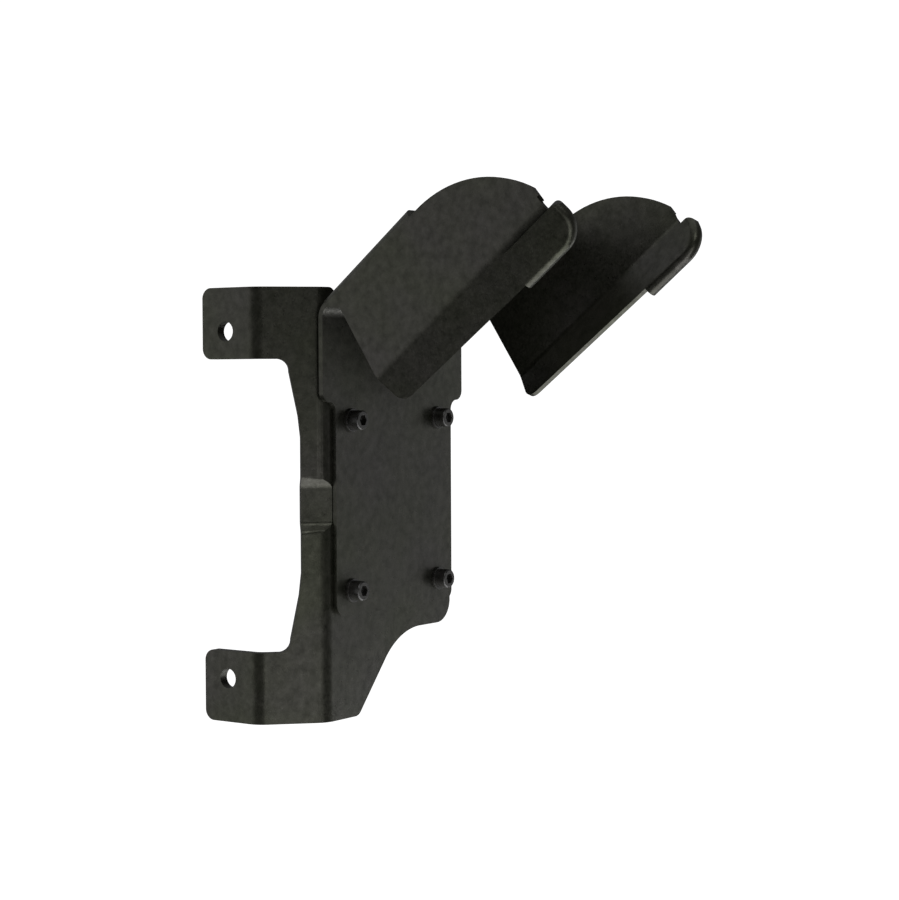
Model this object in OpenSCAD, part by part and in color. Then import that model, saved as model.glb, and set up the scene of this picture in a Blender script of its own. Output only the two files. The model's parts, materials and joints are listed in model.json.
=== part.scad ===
// Bicycle wall rack: a bent wall bracket with two ears, and a hanger with two
// inclined arms bolted to its face by four socket head screws.
// The ears lie on the wall plane X = 0. The origin is midway between the two
// wall holes, +X points away from the wall and the arms reach along -Y.

/* [Sheet metal] */
// thickness of the hanger's sheet
sheet_t = 2.5; // [2:0.1:3]
// inside radius of the bends between the hanger's web and its flanges
bend_r = 2.5; // [2:0.1:3]
// inside radius of the hanger's other bends
wide_bend_r = 7.5; // [5:0.5:9]
// thickness of the wall bracket's sheet
bracket_t = 5; // [4:0.5:6]
// inside radius of the wall bracket's bends
bracket_bend_r = 7; // [5:0.5:8]

/* [Wall bracket] */
// height of the wall bracket
bracket_h = 219; // [210:1:230]
// distance between the two wall holes
wall_hole_spacing = 175; // [170:1:180]
// diameter of the wall holes
wall_hole_d = 10; // [6:0.5:11]
// wall hole centre to the outer edge of an ear
ear_outer = 15; // [12:0.5:20]
// wall hole centre to the bend of an ear
ear_inner = 19; // [18:0.5:22]
// height of one ear
ear_h = 36; // [32:1:40]
// radius of the ear corners
ear_corner_r = 5.5; // [2:0.5:8]
// how far the 45 degree web steps away from the wall
web_run = 25; // [22:0.5:26]
// distance from the wall to the far edge of the face
face_far = 133.5; // [130:0.5:140]
// half height of the narrow, far part of the face
face_half_h = 68.5; // [64:0.5:72]
// where the face's slope meets the lower edge
face_foot_x = 51; // [48:0.5:54]
// where the face's slope meets the upper edge
face_head_x = 31; // [30:0.5:54]
// depth of the waist cut into the web, from the ear bend
waist_depth = 22.9; // [20:0.1:25]
// height of the stiffening rib across the web
rib_h = 29.5; // [24:0.5:34]
// how deep the rib is pressed into the web
rib_depth = 3.4; // [2:0.1:3.4]

/* [Hanger plate] */
// distance from the wall to the middle of the hanger
hanger_x = 81; // [80:0.5:82]
// width of the lower plate
plate_w = 101.5; // [98:0.5:104]
// lower edge of the plate, below the wall holes' midpoint
plate_bottom = 56.5; // [55:0.5:60]
// height at which the plate has reached its full upper width
shoulder_z = 57; // [56:0.5:60]
// radius of the lower plate corners
plate_corner_r = 6; // [4:0.5:12]

/* [Hanger arms] */
// width over the two side flanges
flange_w = 132.5; // [130:0.5:134]
// height of the bend between plate and web
arm_z = 93.6; // [92:0.1:98]
// slope of the arms above level
arm_angle = 39.3; // [36:0.1:42]
// length of the web that joins the two arms
web_len = 68.1; // [64:0.1:72]
// length of the side flanges
arm_len = 127.6; // [124:0.1:132]
// radius of the rounded top of each arm
arm_r = 61.4; // [60:0.2:63]
// depth of the flat part of each flange
flange_depth = 46.8; // [44:0.2:50]
// inward lean of the lower band of each flange
band_angle = 27.5; // [20:0.5:32]
// width of the lower band at its narrow end
band_w = 18; // [16:0.5:20]

/* [Folded tips] */
// start of the folded tip along the arm
tip_start = 95.1; // [92:0.1:98]
// end of the folded tip along the arm
tip_end = 135.6; // [132:0.1:138]
// depth of the folded tip
tip_depth = 20; // [19:0.5:21]
// clear gap inside the fold
fold_gap = 3; // [2.5:0.1:3.5]
// outer radius of the tip's lower corner
tip_corner_r = 14; // [12:0.5:16]

/* [Screws] */
// thread diameter of the screws
screw_d = 6; // [5:1:6]
// screw length under the head
screw_len = 20; // [18:1:24]
// distance between the screws across the plate
screw_spacing_x = 76; // [70:1:80]
// height of the upper pair of screws
screw_top_z = 42.5; // [40:0.5:44]
// depth of the lower pair of screws
screw_bottom_z = -44; // [-46:0.5:-40]
// diameter of the screw clearance holes
clearance_d = 6.6; // [6.4:0.1:7]

/* [Hidden] */
$fn = 96;
cut = 300;
steel = [0.10, 0.10, 0.095];
screw_black = [0.06, 0.06, 0.065];
zinc = [0.62, 0.63, 0.64];
nylon = [0.85, 0.87, 0.88];

// bends; an arc is drawn this much larger than it is, so that it crosses the flats
ease = 0.01;
corner_ease = 0.02;
outer_r = bend_r + sheet_t;
wide_outer_r = wide_bend_r + sheet_t;
bracket_outer_r = bracket_bend_r + bracket_t;
tangent_45 = bracket_outer_r * tan(22.5);
ear_bend_y = -ear_inner;
face_y = ear_bend_y - web_run;
front_y = face_y - sheet_t;
web_slant = web_run * sqrt(2);

// outlines of the wall bracket
wall_hole_z = wall_hole_spacing / 2;
ear_low_z = bracket_h / 2 - ear_h;
face_slope = 49;
far_corner_r = 12;
foot_corner_r = 6;
face_fillet_r = 41.7;
waist_corner_r = 6;
waist_corner_x = 11.2;
rib_wall = 6.5;
rib_steps = 6;
rib_end = 39.5;

// outlines of the hanger
flange_half = flange_w / 2;
wide_half = flange_half - outer_r;
plate_half = plate_w / 2;
shoulder_r = (wide_half - plate_half) / 2;
arm_tangent = wide_outer_r * tan(45 - arm_angle / 2);
band_tangent = wide_outer_r * tan(band_angle / 2);
band_centre_x = flange_half - wide_outer_r;
flat_depth = flange_depth - band_tangent;
band_depth = band_w - band_tangent;
band_flare = 2;
flange_foot = 3.9;
flange_top = 8.6;
relief_start = 2.2;
relief_depth = 6;
band_corner_r = 6;
shoulder_x = web_len + 4.4;
fold_inner_r = fold_gap / 2;
fold_outer_r = fold_inner_r + sheet_t;
tip_flat_depth = tip_depth - fold_outer_r;
tip_flat_end = tip_end - fold_outer_r;
tip_flat_r = tip_corner_r - fold_outer_r;
tip_top_r = 4;

// fasteners
head_d = 10;
head_h = 6;
head_chamfer = 0.6;
socket_af = 5;
socket_depth = 3;
end_chamfer = 0.8;
washer_d = 12;
washer_h = 1.6;
nut_af = 10;
nut_h = 4.6;
collar_h = 1.9;
collar_d = 9.2;
insert_d = 8;
insert_h = 1.5;

// ring between two radii, kept between two angles less than 180 degrees apart
module ring_sector(r_out, r_in, from, to) {
    reach = 2 * r_out;
    intersection() {
        difference() {
            circle(r_out);
            circle(r_in);
        }
        polygon([
            [0, 0],
            reach * [cos(from), sin(from)],
            2 * reach * [cos((from + to) / 2), sin((from + to) / 2)],
            reach * [cos(to), sin(to)]
        ]);
    }
}

// square at the origin, towards +X +Y, less a quarter circle about its far corner
module corner_fill(r) {
    difference() {
        square(r);
        translate([r, r])
            circle(r + ease);
    }
}

// rounds the outer corner at the origin of a shape that lies towards +X +Y
module corner_trim(r, over = ease) {
    difference() {
        translate([-1, -1])
            square(r + 1);
        translate([r, r])
            circle(r + over);
    }
}

// draws its children and their mirror image across X = 0
module both_sides() {
    children();
    mirror([1, 0])
        children();
}

// what lies outside a bend's outer radius, between the two angles of its tangents
module bend_trim(r_out, from, to) {
    start = from + 2;
    end = to - 2;
    mid = (from + to) / 2;
    reach = 1.4 * r_out;
    difference() {
        polygon([
            [0, 0],
            reach * [cos(start), sin(start)],
            reach * [cos(mid), sin(mid)] / cos(mid - start),
            reach * [cos(end), sin(end)]
        ]);
        circle(r_out + ease);
    }
}

// what rounds the inner side of a bend, from its inside radius to the middle of the sheet
module bend_fill(r_in, t, from, to) {
    ring_sector(r_in + t / 2, r_in + ease, from, to);
}

// plan of the bent sheet: ear, web at 45 degrees, face
module bracket_plan() {
    inner_step = bracket_t * tan(22.5);
    difference() {
        polygon([
            [0, ear_outer], [0, ear_bend_y], [web_run, face_y], [face_far, face_y],
            [face_far, face_y + bracket_t], [web_run + inner_step, face_y + bracket_t],
            [bracket_t, ear_bend_y + inner_step], [bracket_t, ear_outer]
        ]);
        translate([bracket_outer_r, ear_bend_y + tangent_45])
            bend_trim(bracket_outer_r, 180, 225);
        translate([web_run + tangent_45, face_y + bracket_outer_r])
            bend_trim(bracket_outer_r, 225, 270);
    }
    translate([bracket_outer_r, ear_bend_y + tangent_45])
        bend_fill(bracket_bend_r, bracket_t, 180, 225);
    translate([web_run + tangent_45, face_y + bracket_outer_r])
        bend_fill(bracket_bend_r, bracket_t, 225, 270);
}

// what is cut off the blunt corner at the foot of the slope
module foot_trim() {
    run = foot_corner_r * tan(face_slope / 2);
    difference() {
        polygon([[-run, -1], [1, -1], [run * cos(face_slope) + 1, run * sin(face_slope)],
            run * [cos(face_slope), sin(face_slope)], [-run, 0]]);
        translate([-run, foot_corner_r])
            circle(foot_corner_r + corner_ease);
    }
}

// lower half of the bracket's outline, X away from the wall and Y up
module face_outline_half(foot_x) {
    half_h = bracket_h / 2;
    corner_x = foot_x + (half_h - face_half_h) / tan(face_slope);
    run = face_fillet_r * tan(face_slope / 2);
    difference() {
        translate([-5, -face_half_h])
            square([5 + face_far, face_half_h]);
        translate([face_far, -face_half_h])
            mirror([1, 0])
                corner_trim(far_corner_r);
    }
    difference() {
        polygon([[-5, -half_h], [foot_x, -half_h], [corner_x, -face_half_h], [-5, -face_half_h]]);
        translate([foot_x, -half_h])
            foot_trim();
    }
    difference() {
        polygon([
            [corner_x - run * cos(face_slope), -face_half_h - run * sin(face_slope)],
            [corner_x + run, -face_half_h],
            [corner_x - foot_corner_r, -face_half_h + foot_corner_r]
        ]);
        translate([corner_x + run, -face_half_h - face_fillet_r])
            circle(face_fillet_r + corner_ease);
    }
}

// waist between the ears, seen square to the web, X along the web
module waist_outline() {
    polygon([
        [-60, -ear_low_z], [waist_corner_x, -ear_low_z], [17, -68.2], [21.7, -45],
        [waist_depth, -34], [waist_depth, 34], [21.7, 45], [17, 68.2],
        [waist_corner_x, ear_low_z], [-60, ear_low_z]
    ]);
    for (side = [-1, 1])
        translate([waist_corner_x, side * (ear_low_z - waist_corner_r)])
            circle(waist_corner_r + corner_ease);
}

// one wall of the rib, a half wave from a lip above the surface down to its floor
function rib_wall_points(side) = [
    for (i = [-1 : rib_steps])
        [
            (i < 0 ? 1 : -1) * rib_depth * (1 - cos(180 * i / rib_steps)) / 2,
            side * (rib_h / 2 - rib_wall * i / rib_steps)
        ]
];

// cross-section between the rib's walls, X out of the web and Y along its height
module rib_section() {
    upper = rib_wall_points(1);
    polygon(concat(rib_wall_points(-1), [for (i = [len(upper) - 1 : -1 : 0]) upper[i]]));
}

// prism of the rib along the web, so far below the web's outer surface; it runs out in the bend
module rib(below) {
    translate([0, ear_bend_y, 0])
        rotate([0, 0, -45])
            translate([waist_depth - 2, 0, 0])
                rotate([90, 0, 90])
                    linear_extrude(rib_end - waist_depth + 2)
                        mirror([1, 0])
                            translate([-below, 0])
                                rib_section();
}

// hole along Y through the bracket's face or the hanger's plate
module clearance_hole() {
    translate([0, cut / 2, 0])
        rotate([90, 0, 0])
            cylinder(h = cut, d = clearance_d);
}

module wall_bracket() {
    color(steel)
        difference() {
            union() {
                intersection() {
                    translate([0, 0, -bracket_h / 2])
                        linear_extrude(bracket_h)
                            bracket_plan();
                    translate([0, cut / 2, 0])
                        rotate([90, 0, 0])
                            linear_extrude(cut)
                                union() {
                                    face_outline_half(face_foot_x);
                                    mirror([0, 1])
                                        face_outline_half(face_head_x);
                                }
                }
                rib(bracket_t);
            }
            rib(0);
            translate([0, ear_bend_y, 0])
                rotate([0, 0, -45])
                    translate([0, 80, 0])
                        rotate([90, 0, 0])
                            linear_extrude(160)
                                waist_outline();
            for (side = [0, 1])
                mirror([0, 0, side]) {
                    translate([-bracket_t, 0, wall_hole_z])
                        rotate([0, 90, 0])
                            cylinder(h = 3 * bracket_t, d = wall_hole_d);
                    translate([-1, ear_outer, bracket_h / 2])
                        rotate([90, 0, 90])
                            linear_extrude(bracket_t + 2)
                                mirror([1, 0])
                                    mirror([0, 1])
                                        corner_trim(ear_corner_r);
                    translate([-1, ear_outer, ear_low_z])
                        rotate([90, 0, 90])
                            linear_extrude(bracket_t + 2)
                                mirror([1, 0])
                                    corner_trim(ear_corner_r);
                }
            at_each_screw()
                clearance_hole();
        }
}

// place of one screw: row is 1 for the upper pair, side is 1 for the far pair
module at_screw(row, side) {
    translate([
        hanger_x + (side - 0.5) * screw_spacing_x,
        face_y,
        row == 1 ? screw_top_z : screw_bottom_z
    ])
        children();
}

module at_each_screw() {
    for (row = [0, 1])
        for (side = [0, 1])
            at_screw(row, side)
                children();
}

// front view of plate and web, X across and Y up, left open above the web
module plate_outline() {
    step_z = shoulder_z - shoulder_r;
    both_sides() {
        difference() {
            translate([0, -plate_bottom])
                square([plate_half, plate_bottom + 2 * arm_z]);
            translate([plate_half, -plate_bottom])
                mirror([1, 0])
                    corner_trim(plate_corner_r);
        }
        difference() {
            translate([plate_half, step_z])
                square([wide_half - plate_half, 2 * arm_z - step_z]);
            translate([wide_half, step_z])
                mirror([1, 0])
                    corner_trim(shoulder_r);
        }
        translate([plate_half, step_z])
            mirror([0, 1])
                corner_fill(shoulder_r);
    }
}

// one flange seen from the side, X outwards along the arm and Y down from its top edge
module flange_outline() {
    translate([relief_start, 0])
        square([shoulder_x - relief_start, flange_depth]);
    intersection() {
        translate([shoulder_x, arm_r])
            circle(arm_r);
        translate([shoulder_x, 0])
            square([arm_len + 1 - shoulder_x, flange_depth]);
    }
}

// what is cut off the flange's inner end, in the same view
module flange_foot_cut() {
    polygon([
        [relief_start - 5, 0], [relief_start, 0], [flange_top, relief_depth],
        [flange_foot, flange_depth], [flange_foot, 2 * flange_depth],
        [relief_start - 5, 2 * flange_depth]
    ]);
}

// lower band of a flange, X outwards along the arm and Y down the band
module band_outline() {
    difference() {
        polygon([
            [flange_foot - 0.5, -band_tangent], [arm_len + 2, -band_tangent],
            [arm_len + 2, tip_top_r], [tip_start, tip_top_r],
            [tip_start, band_depth + band_flare], [flange_foot - 0.5, band_depth]
        ]);
        translate([flange_foot, band_depth])
            mirror([0, 1])
                corner_trim(band_corner_r);
    }
}

// flat part of the tip, without its fold
module tip_outline() {
    difference() {
        translate([tip_start, 0])
            square([tip_flat_end - tip_start, tip_flat_depth]);
        translate([tip_flat_end, tip_flat_depth])
            mirror([1, 0])
                mirror([0, 1])
                    corner_trim(tip_flat_r, 0);
    }
}

// half round section of the fold, X outwards from its middle plane's edge
module fold_section() {
    difference() {
        circle(fold_outer_r);
        circle(fold_inner_r);
        translate([-2 * fold_outer_r, -2 * fold_outer_r])
            square([2 * fold_outer_r, 4 * fold_outer_r]);
    }
}

// fold along the tip's lower edge, round its corner and up its end; Z through the sheet
module fold() {
    straight = tip_flat_end - tip_flat_r - tip_start;
    rise = tip_flat_depth - tip_flat_r;
    translate([tip_start, tip_flat_depth, 0])
        rotate([90, 0, 90])
            linear_extrude(straight)
                fold_section();
    translate([tip_flat_end - tip_flat_r, rise, 0])
        rotate_extrude(angle = 90)
            translate([tip_flat_r, 0])
                fold_section();
    translate([tip_flat_end, 0, 0])
        rotate([-90, 0, 0])
            linear_extrude(rise)
                fold_section();
}

// stands an outline up: its X runs out along the arm, its Y down, its thickness to +X
module stand_up() {
    rotate([0, 90, 0])
        rotate([0, 0, -90])
            children();
}

// everything of the arm at the +X side; the bend beside the web has its centre at Z = 0
module arm() {
    translate([0, -relief_start, 0])
        rotate([90, 0, 0])
            linear_extrude(web_len - relief_start)
                translate([wide_half, 0])
                    ring_sector(outer_r, bend_r, 0, 90);
    difference() {
        union() {
            translate([flange_half - sheet_t, 0, 0])
                stand_up()
                    linear_extrude(sheet_t)
                        flange_outline();
            along_band(flange_foot - 1, arm_len + 3)
                bend_fill(wide_bend_r, sheet_t, -band_angle, 0);
            band_frame()
                arm_band();
        }
        along_band(flange_foot - 2, arm_len + 4)
            bend_trim(wide_outer_r, -band_angle, 0);
        translate([wide_half - flange_depth, 0, 0])
            stand_up()
                linear_extrude(2 * flange_depth)
                    flange_foot_cut();
        band_frame()
            translate([wide_bend_r - 1, 0, 0]) {
                translate([0, -tip_end, 0])
                    cube([sheet_t + 2, tip_end - arm_len, 3 * band_tangent]);
                stand_up()
                    linear_extrude(2 * sheet_t + fold_gap + 2)
                        translate([tip_end, 0])
                            mirror([1, 0])
                                corner_trim(tip_top_r);
            }
    }
}

// frame of the lower band: the bend's centre is the origin, the band hangs down
module band_frame() {
    translate([band_centre_x, 0, -flat_depth])
        rotate([0, band_angle, 0])
            children();
}

// draws its child along the bend of the lower band, between two distances along the arm
module along_band(from, to) {
    translate([band_centre_x, -from, -flat_depth])
        rotate([90, 0, 0])
            linear_extrude(to - from)
                children();
}

// lower band and folded tip, in the frame of the band's bend
module arm_band() {
    translate([wide_bend_r, 0, 0])
        stand_up()
            linear_extrude(sheet_t)
                union() {
                    band_outline();
                    tip_outline();
                }
    translate([wide_outer_r + fold_inner_r, 0, 0])
        stand_up()
            fold();
    translate([wide_outer_r + fold_gap, 0, 0])
        stand_up()
            linear_extrude(sheet_t)
                tab_outline();
}

// outer tab of the tip: the flat part with its upper corners rounded
module tab_outline() {
    difference() {
        tip_outline();
        translate([tip_start, 0])
            corner_trim(tip_top_r);
    }
}

// plate, bend and web, wider than the hanger
module bent_sheet() {
    half_length = wide_half + 2;
    difference() {
        union() {
            translate([hanger_x - half_length, front_y, -plate_bottom - 1])
                cube([2 * half_length, sheet_t, plate_bottom + 1 + arm_z + arm_tangent]);
            along_bend(half_length)
                bend_fill(wide_bend_r, sheet_t, 0, 90 - arm_angle);
            arm_frame()
                translate([-half_length, -web_len, wide_bend_r])
                    cube([2 * half_length, web_len + arm_tangent, sheet_t]);
        }
        along_bend(half_length + 1)
            bend_trim(wide_outer_r, 0, 90 - arm_angle);
    }
}

// draws its child along the bend between plate and web, to both sides of the middle
module along_bend(half_length) {
    translate([hanger_x - half_length, front_y - wide_bend_r, arm_z])
        rotate([90, 0, 90])
            linear_extrude(2 * half_length)
                children();
}

// frame of the sloping web: the bend's centre is the origin, the arms reach along -Y
module arm_frame() {
    translate([hanger_x, front_y - wide_bend_r, arm_z])
        rotate([-arm_angle, 0, 0])
            children();
}

module hanger_bracket() {
    color(steel)
        difference() {
            union() {
                intersection() {
                    bent_sheet();
                    translate([hanger_x, 0, 0])
                        rotate([90, 0, 0])
                            linear_extrude(cut)
                                plate_outline();
                }
                arm_frame()
                    translate([0, 0, wide_bend_r - bend_r])
                        for (side = [0, 1])
                            mirror([side, 0, 0])
                                arm();
            }
            at_each_screw()
                clearance_hole();
        }
}

// socket head cap screw, head towards +Z, the seat of its head at Z = 0
module cap_screw() {
    difference() {
        union() {
            cylinder(h = head_h - head_chamfer, d = head_d);
            translate([0, 0, head_h - head_chamfer])
                cylinder(h = head_chamfer, d1 = head_d, d2 = head_d - 2 * head_chamfer);
            translate([0, 0, end_chamfer - screw_len])
                cylinder(h = screw_len - end_chamfer, d = screw_d);
            translate([0, 0, -screw_len])
                cylinder(h = end_chamfer, d1 = screw_d - 2 * end_chamfer, d2 = screw_d);
        }
        translate([0, 0, head_h - socket_depth])
            cylinder(h = socket_depth + 1, d = socket_af / cos(30), $fn = 6);
    }
}

module screw(row, side) {
    color(screw_black)
        at_screw(row, side)
            translate([0, -sheet_t - washer_h, 0])
                rotate([90, 0, 0])
                    cap_screw();
}

// washer under a screw's head
module washer(row, side) {
    color(screw_black)
        at_screw(row, side)
            translate([0, -sheet_t, 0])
                rotate([90, 0, 0])
                    difference() {
                        cylinder(h = washer_h, d = washer_d);
                        translate([0, 0, -1])
                            cylinder(h = washer_h + 2, d = clearance_d);
                    }
}

// hexagon lock nut whose collar holds the insert
module nut(row, side) {
    color(zinc)
        at_screw(row, side)
            translate([0, bracket_t, 0])
                rotate([-90, 0, 0])
                    difference() {
                        union() {
                            cylinder(h = nut_h, d = nut_af / cos(30), $fn = 6);
                            translate([0, 0, nut_h])
                                cylinder(h = collar_h, d = collar_d);
                        }
                        translate([0, 0, -1])
                            cylinder(h = nut_h + 2, d = screw_d);
                        translate([0, 0, nut_h])
                            cylinder(h = collar_h + 1, d = insert_d);
                    }
}

module nut_insert(row, side) {
    color(nylon)
        at_screw(row, side)
            translate([0, bracket_t + nut_h, 0])
                rotate([-90, 0, 0])
                    difference() {
                        cylinder(h = insert_h, d = insert_d);
                        translate([0, 0, -1])
                            cylinder(h = insert_h + 2, d = screw_d);
                    }
}

wall_bracket();
hanger_bracket();
screw(1, 0);  // screw_upper_near
screw(1, 1);  // screw_upper_far
screw(0, 0);  // screw_lower_near
screw(0, 1);  // screw_lower_far
washer(1, 0);  // washer_upper_near
washer(1, 1);  // washer_upper_far
washer(0, 0);  // washer_lower_near
washer(0, 1);  // washer_lower_far
nut(1, 0);  // nut_upper_near
nut(1, 1);  // nut_upper_far
nut(0, 0);  // nut_lower_near
nut(0, 1);  // nut_lower_far
nut_insert(1, 0);  // nut_insert_upper_near
nut_insert(1, 1);  // nut_insert_upper_far
nut_insert(0, 0);  // nut_insert_lower_near
nut_insert(0, 1);  // nut_insert_lower_far
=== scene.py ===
"""Bicycle wall rack in black powder coat: materials, softened edges, stage, camera and lights."""

import json
import math

import bpy
from mathutils import Matrix, Vector


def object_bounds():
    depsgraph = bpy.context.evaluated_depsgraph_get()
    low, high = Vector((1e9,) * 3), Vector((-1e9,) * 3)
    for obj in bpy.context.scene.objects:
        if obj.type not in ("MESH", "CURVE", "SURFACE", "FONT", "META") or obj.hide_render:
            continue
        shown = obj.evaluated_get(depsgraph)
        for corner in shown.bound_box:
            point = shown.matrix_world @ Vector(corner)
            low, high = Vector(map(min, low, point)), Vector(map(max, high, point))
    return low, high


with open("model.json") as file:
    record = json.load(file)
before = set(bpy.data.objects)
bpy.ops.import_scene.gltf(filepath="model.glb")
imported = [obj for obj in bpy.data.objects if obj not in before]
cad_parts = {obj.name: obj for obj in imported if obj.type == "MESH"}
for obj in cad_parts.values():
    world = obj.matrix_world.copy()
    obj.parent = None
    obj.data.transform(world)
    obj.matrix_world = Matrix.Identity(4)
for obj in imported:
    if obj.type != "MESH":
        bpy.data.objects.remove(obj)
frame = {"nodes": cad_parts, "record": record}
cad_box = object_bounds()
NODES = frame["nodes"]

# The camera's place round the object, in degrees
AZIMUTH = -55.35
ELEVATION = 1.99
ROLL = -0.264
# Its distance from the point it aims at, and that point's offset from the middle of the box, in metres
DISTANCE = 1.0452
AIM_RIGHT = -0.0039
AIM_UP = 0.0031
# Its focal length and sensor, in millimetres
LENS = 82.2
SENSOR_WIDTH = 36.0

# Rounding of the CAD nodes' sharp edges, in metres and degrees
SHEET_ROUNDING = 0.0011
FASTENER_ROUNDING = 0.00012
ROUNDING_SEGMENTS = 2
WELD_GAP = 0.000002
FLAT_ANGLE = 0.5
SHARP_ANGLE = 35.0

# The part of a noise's range that ramp and remap stretch over their whole output
NOISE_LOW = 0.3
NOISE_HIGH = 0.7

# The floor's depth below the rack and its side, in metres
FLOOR_DROP = 0.55
FLOOR_SIZE = 60.0

# World strength as the object sees it and as the camera sees it
FILL_STRENGTH = 0.13
BACKDROP_STRENGTH = 1.1


# Shader helpers
def principled(name):
    """A new node material: its tree and its Principled shader."""
    material = bpy.data.materials.new(name)
    material.use_nodes = True
    tree = material.node_tree
    return material, tree, tree.nodes["Principled BSDF"]


def noise(tree, scale, detail=2.0, roughness=0.5):
    """Noise over the object's own coordinates, in metres. Returns its value socket."""
    where = tree.nodes.new("ShaderNodeTexCoord")
    node = tree.nodes.new("ShaderNodeTexNoise")
    node.inputs["Scale"].default_value = scale
    node.inputs["Detail"].default_value = detail
    node.inputs["Roughness"].default_value = roughness
    tree.links.new(where.outputs["Object"], node.inputs["Vector"])
    return node.outputs["Fac"]


def ramp(tree, value, low, high):
    """Turns a noise socket into a colour between low and high."""
    node = tree.nodes.new("ShaderNodeValToRGB")
    first, last = node.color_ramp.elements
    first.position = NOISE_LOW
    last.position = NOISE_HIGH
    first.color = (*low, 1.0)
    last.color = (*high, 1.0)
    tree.links.new(value, node.inputs["Fac"])
    return node.outputs["Color"]


def remap(tree, value, low, high):
    """Turns a noise socket into a number between low and high."""
    node = tree.nodes.new("ShaderNodeMapRange")
    node.inputs["From Min"].default_value = NOISE_LOW
    node.inputs["From Max"].default_value = NOISE_HIGH
    node.inputs["To Min"].default_value = low
    node.inputs["To Max"].default_value = high
    tree.links.new(value, node.inputs["Value"])
    return node.outputs["Result"]


def multiply(tree, first, second):
    """The product of two colour sockets."""
    node = tree.nodes.new("ShaderNodeMix")
    node.data_type = "RGBA"
    node.blend_type = "MULTIPLY"
    node.inputs["Factor"].default_value = 1.0
    tree.links.new(first, node.inputs["A"])
    tree.links.new(second, node.inputs["B"])
    return node.outputs["Result"]


def bump(tree, shader, height, distance, strength):
    """Raises the shader's surface by a height socket, over a distance in metres."""
    node = tree.nodes.new("ShaderNodeBump")
    node.inputs["Distance"].default_value = distance
    node.inputs["Strength"].default_value = strength
    tree.links.new(height, node.inputs["Height"])
    tree.links.new(node.outputs["Normal"], shader.inputs["Normal"])


# Materials
def powder_coat(name):
    """Black powder coat: orange peel grain, a faint olive cloudiness and a satin sheen."""
    material, tree, shader = principled(name)
    grain = noise(tree, 620.0, detail=4.0, roughness=0.65)
    cloud = noise(tree, 210.0, detail=5.0, roughness=0.6)
    drift = noise(tree, 22.0, detail=3.0)
    fine = ramp(tree, grain, (0.004, 0.004, 0.0034), (0.010, 0.010, 0.0085))
    broad = ramp(tree, cloud, (0.62, 0.70, 0.50), (1.0, 0.95, 0.9))
    tint = ramp(tree, drift, (0.95, 1.0, 0.74), (1.0, 0.96, 0.90))
    tree.links.new(multiply(tree, fine, broad), shader.inputs["Base Color"])
    tree.links.new(remap(tree, grain, 0.26, 0.42), shader.inputs["Roughness"])
    tree.links.new(remap(tree, cloud, 0.36, 0.64), shader.inputs["Specular IOR Level"])
    tree.links.new(tint, shader.inputs["Specular Tint"])
    bump(tree, shader, grain, 0.00009, 0.7)
    return material


def black_oxide(name):
    """Black oxide steel with a slight oily sheen."""
    material, tree, shader = principled(name)
    smear = noise(tree, 260.0, detail=3.0)
    colour = ramp(tree, smear, (0.007, 0.0065, 0.006), (0.020, 0.019, 0.017))
    tree.links.new(colour, shader.inputs["Base Color"])
    tree.links.new(remap(tree, smear, 0.22, 0.36), shader.inputs["Roughness"])
    shader.inputs["Specular IOR Level"].default_value = 0.5
    bump(tree, shader, noise(tree, 2600.0), 0.00002, 0.3)
    return material


def zinc_plate(name):
    """Bright zinc plate, slightly clouded."""
    material, tree, shader = principled(name)
    cloud = noise(tree, 420.0, detail=3.0)
    colour = ramp(tree, cloud, (0.40, 0.41, 0.42), (0.60, 0.61, 0.62))
    tree.links.new(colour, shader.inputs["Base Color"])
    tree.links.new(remap(tree, cloud, 0.24, 0.4), shader.inputs["Roughness"])
    shader.inputs["Metallic"].default_value = 1.0
    bump(tree, shader, noise(tree, 1800.0), 0.00002, 0.25)
    return material


def nylon(name):
    """Milky nylon."""
    material, tree, shader = principled(name)
    cloud = noise(tree, 500.0)
    colour = ramp(tree, cloud, (0.66, 0.69, 0.70), (0.78, 0.80, 0.81))
    tree.links.new(colour, shader.inputs["Base Color"])
    tree.links.new(remap(tree, cloud, 0.4, 0.55), shader.inputs["Roughness"])
    bump(tree, shader, cloud, 0.00003, 0.3)
    return material


def pale_floor(name):
    """A pale, matt floor that glows a little, so that it shows as evenly lit."""
    material, tree, shader = principled(name)
    cloud = noise(tree, 3.0)
    colour = ramp(tree, cloud, (0.90, 0.90, 0.90), (0.93, 0.93, 0.93))
    tree.links.new(colour, shader.inputs["Base Color"])
    shader.inputs["Roughness"].default_value = 0.9
    shader.inputs["Emission Color"].default_value = (1.0, 1.0, 1.0, 1.0)
    shader.inputs["Emission Strength"].default_value = 1.0
    return material


def paint(piece, material):
    """Gives a piece one material in place of all it has."""
    piece.data.materials.clear()
    piece.data.materials.append(material)


# The CAD nodes: their materials and softened edges
def soften_edges(piece, width):
    """Rounds the sharp edges of a CAD node by modifiers, which leave its mesh as it is."""
    weld = piece.modifiers.new("weld", "WELD")
    weld.merge_threshold = WELD_GAP
    merge = piece.modifiers.new("merge_flats", "DECIMATE")
    merge.decimate_type = "DISSOLVE"
    merge.angle_limit = math.radians(FLAT_ANGLE)
    bevel = piece.modifiers.new("edge", "BEVEL")
    bevel.width = width
    bevel.segments = ROUNDING_SEGMENTS
    bevel.limit_method = "ANGLE"
    bevel.angle_limit = math.radians(SHARP_ANGLE)
    bevel.miter_outer = "MITER_ARC"
    normals = piece.modifiers.new("normals", "WEIGHTED_NORMAL")
    normals.mode = "FACE_AREA"
    normals.weight = 100


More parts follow.
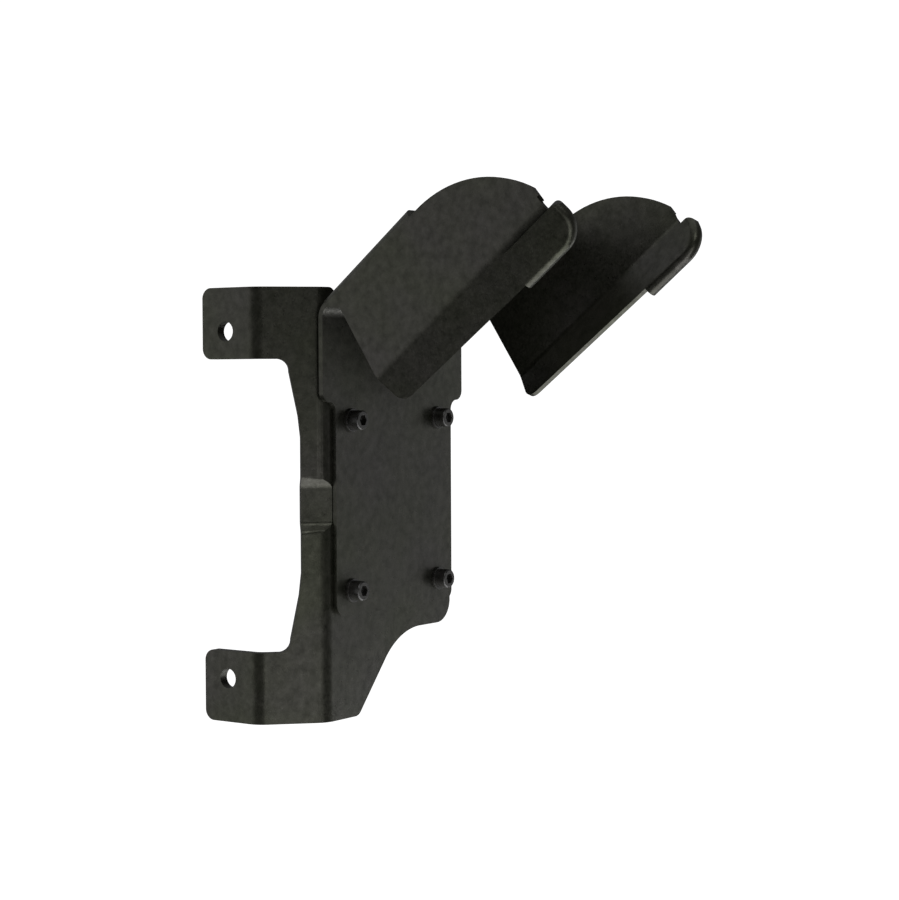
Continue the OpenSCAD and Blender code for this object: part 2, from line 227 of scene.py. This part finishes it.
MATERIALS = {
    "bracket_coat": powder_coat("bracket_powder_coat"),
    "hanger_coat": powder_coat("hanger_powder_coat"),
    "screw_steel": black_oxide("screw_black_oxide"),
    "zinc_steel": zinc_plate("zinc_plated_steel"),
    "insert_nylon": nylon("insert_nylon"),
}
for part in frame["record"]["subparts"]:
    piece = NODES[part["node"]]
    paint(piece, MATERIALS[part["material_slot"]])
    is_sheet = part["material_slot"].endswith("_coat")
    soften_edges(piece, SHEET_ROUNDING if is_sheet else FASTENER_ROUNDING)


# Stage: a pale floor well below the rack, which neither lights it nor shows in it
low, high = cad_box
middle = (low + high) / 2
bpy.ops.mesh.primitive_plane_add(
    size=FLOOR_SIZE, location=(middle.x, middle.y, low.z - FLOOR_DROP)
)
floor = bpy.context.object
floor.name = "floor"
paint(floor, pale_floor("pale_floor"))
floor.visible_diffuse = False
floor.visible_glossy = False


# Camera, and the directions it sees as right, up and back
azimuth = math.radians(AZIMUTH)
elevation = math.radians(ELEVATION)
back = Vector(
    (
        math.sin(azimuth) * math.cos(elevation),
        -math.cos(azimuth) * math.cos(elevation),
        math.sin(elevation),
    )
)
right = Vector((0, 0, 1)).cross(back).normalized()
up = back.cross(right)
roll = Matrix.Rotation(math.radians(ROLL), 3, back)
right, up = roll @ right, roll @ up
aim = middle + AIM_RIGHT * right + AIM_UP * up

lens = bpy.data.cameras.new("camera")
lens.lens = LENS
lens.sensor_width = SENSOR_WIDTH
lens.clip_start = 0.05
lens.clip_end = 200.0
camera = bpy.data.objects.new("camera", lens)
bpy.context.scene.collection.objects.link(camera)
view_turn = Matrix((right, up, back)).transposed().to_4x4()
camera.matrix_world = Matrix.Translation(aim + DISTANCE * back) @ view_turn
bpy.context.scene.camera = camera


# Lights
def softbox(name, direction, distance, spread, radiance):
    """An area light that faces the rack from a direction, given as right, up, back.

    The distance is in metres. The spread is half the angle that the light fills, across
    and up, in degrees.
    """
    width, height = (2 * distance * math.tan(math.radians(a)) for a in spread)
    data = bpy.data.lights.new(name, "AREA")
    data.shape = "RECTANGLE"
    data.size, data.size_y = width, height
    data.energy = radiance * math.pi * width * height
    light = bpy.data.objects.new(name, data)
    bpy.context.scene.collection.objects.link(light)
    away = (direction[0] * right + direction[1] * up + direction[2] * back).normalized()
    side = Vector((0, 0, 1)).cross(away).normalized()
    light_turn = Matrix((side, away.cross(side), away)).transposed().to_4x4()
    light.matrix_world = Matrix.Translation(middle + away * distance) @ light_turn
    light.visible_camera = False


# The ears and the arms' flanges mirror the left softboxes into the camera
softbox("left_softbox", (-0.934, 0.08, 0.353), 1.2, (19, 32), 0.72)
softbox("left_low_softbox", (-0.934, -0.27, 0.353), 1.2, (19, 11), 0.25)
# The wall bracket's web mirrors the front softbox, its face and the hanger's plate the right ones
softbox("front_softbox", (0.353, -0.29, 0.934), 1.4, (18, 12), 1.5)
softbox("right_softbox", (0.935, -0.10, -0.353), 1.2, (22, 22), 0.43)
softbox("right_low_softbox", (0.75, -0.47, -0.50), 1.0, (9, 9), 2.2)
# The bends, bands, rims and screws catch the rest
softbox("key_softbox", (0.30, 0.66, 0.72), 1.4, (10, 10), 4.0)
softbox("top_softbox", (0.0, 1.0, 0.1), 1.2, (30, 30), 0.6)
softbox("under_softbox", (0.16, -0.98, 0.04), 0.5, (34, 30), 3.0)
softbox("front_low_softbox", (0.30, -0.62, 0.72), 1.2, (12, 9), 3.0)
softbox("floor_bounce", (-0.466, -0.67, 0.56), 0.5, (20, 20), 0.1)
softbox("back_softbox", (-0.857, 0.388, -0.338), 1.2, (28, 28), 0.35)

# World: an even white backdrop for the camera, a dimmer fill for everything else
world = bpy.data.worlds.new("studio")
bpy.context.scene.world = world
world.use_nodes = True
sky = world.node_tree
fill = sky.nodes["Background"]
fill.inputs["Color"].default_value = (1.0, 1.0, 1.0, 1.0)
fill.inputs["Strength"].default_value = FILL_STRENGTH
backdrop = sky.nodes.new("ShaderNodeBackground")
backdrop.inputs["Color"].default_value = (1.0, 1.0, 1.0, 1.0)
backdrop.inputs["Strength"].default_value = BACKDROP_STRENGTH
seen = sky.nodes.new("ShaderNodeLightPath")
choose = sky.nodes.new("ShaderNodeMixShader")
sky.links.new(seen.outputs["Is Camera Ray"], choose.inputs["Fac"])
sky.links.new(fill.outputs["Background"], choose.inputs[1])
sky.links.new(backdrop.outputs["Background"], choose.inputs[2])
sky.links.new(choose.outputs["Shader"], sky.nodes["World Output"].inputs["Surface"])
bpy.context.scene.view_settings.view_transform = "Standard"
